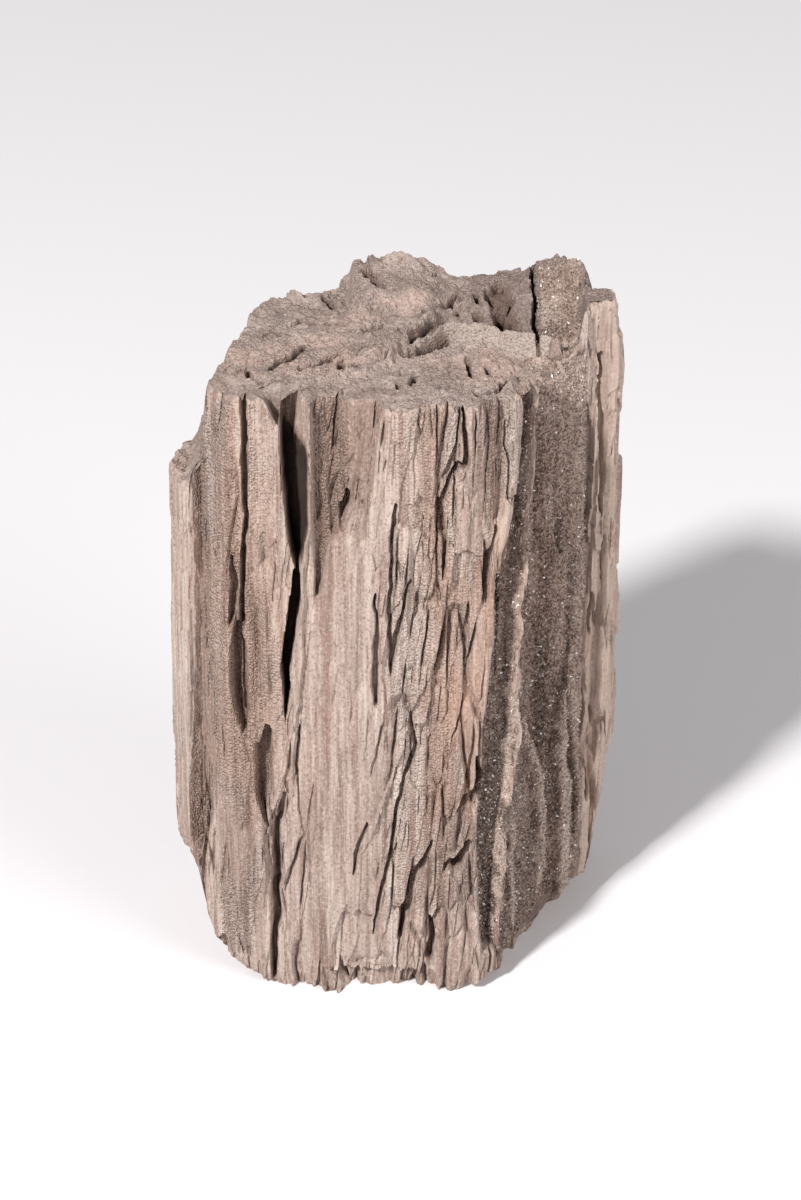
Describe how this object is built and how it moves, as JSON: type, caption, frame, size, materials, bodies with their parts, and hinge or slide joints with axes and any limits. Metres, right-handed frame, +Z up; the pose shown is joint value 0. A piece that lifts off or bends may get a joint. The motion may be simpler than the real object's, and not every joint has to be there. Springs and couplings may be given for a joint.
{
  "type": "petrified wood log",
  "caption": "Upright petrified wood log with a broken top, long splits along the grain, and hollows lined with druse quartz.",
  "frame": {"origin": "centre of the bounding box at the height of the flat foot the log stands on", "axes": "+Z up along the grain, -Y towards the broad front face, +X towards the druse-lined hollow"},
  "size_m": [0.2809, 0.1966, 0.4399],
  "materials": {
    "petrified_wood": "dry, finely granular",
    "druse_quartz": "crystalline, sparkling"
  },
  "bodies": {
    "root": {"log": "petrified_wood", "druse_broad_hollow": "druse_quartz", "druse_narrow_hollow": "druse_quartz", "druse_top_hollow": "druse_quartz"}
  },
  "joints": []
}
